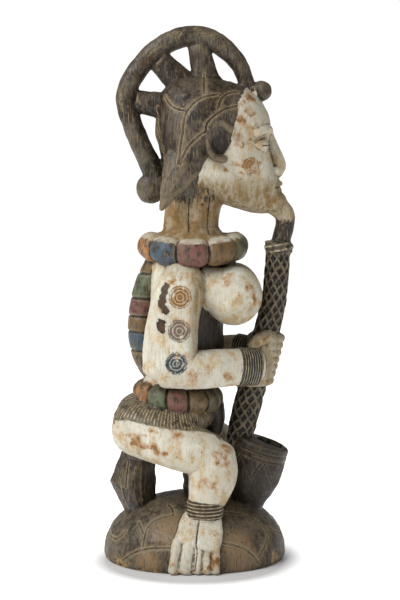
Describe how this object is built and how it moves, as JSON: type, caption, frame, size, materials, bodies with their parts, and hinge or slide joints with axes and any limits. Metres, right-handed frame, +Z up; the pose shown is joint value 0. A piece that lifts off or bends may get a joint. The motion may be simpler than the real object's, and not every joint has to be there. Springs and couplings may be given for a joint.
{
  "type": "seated female figure",
  "caption": "Carved wooden figure of a woman seated on a stool, smoking a long pipe whose bowl stands on the domed base.",
  "frame": {"origin": "centre of the domed base's flat underside", "axes": "+Z up, the figure faces -Y, and her left hand is towards +X"},
  "size_m": [0.2067, 0.2544, 0.701],
  "materials": {
    "carved_wood": "dark patinated hardwood with worn white clay and faded earth pigments"
  },
  "bodies": {
    "root": {"seated_figure": "carved_wood"}
  },
  "joints": []
}
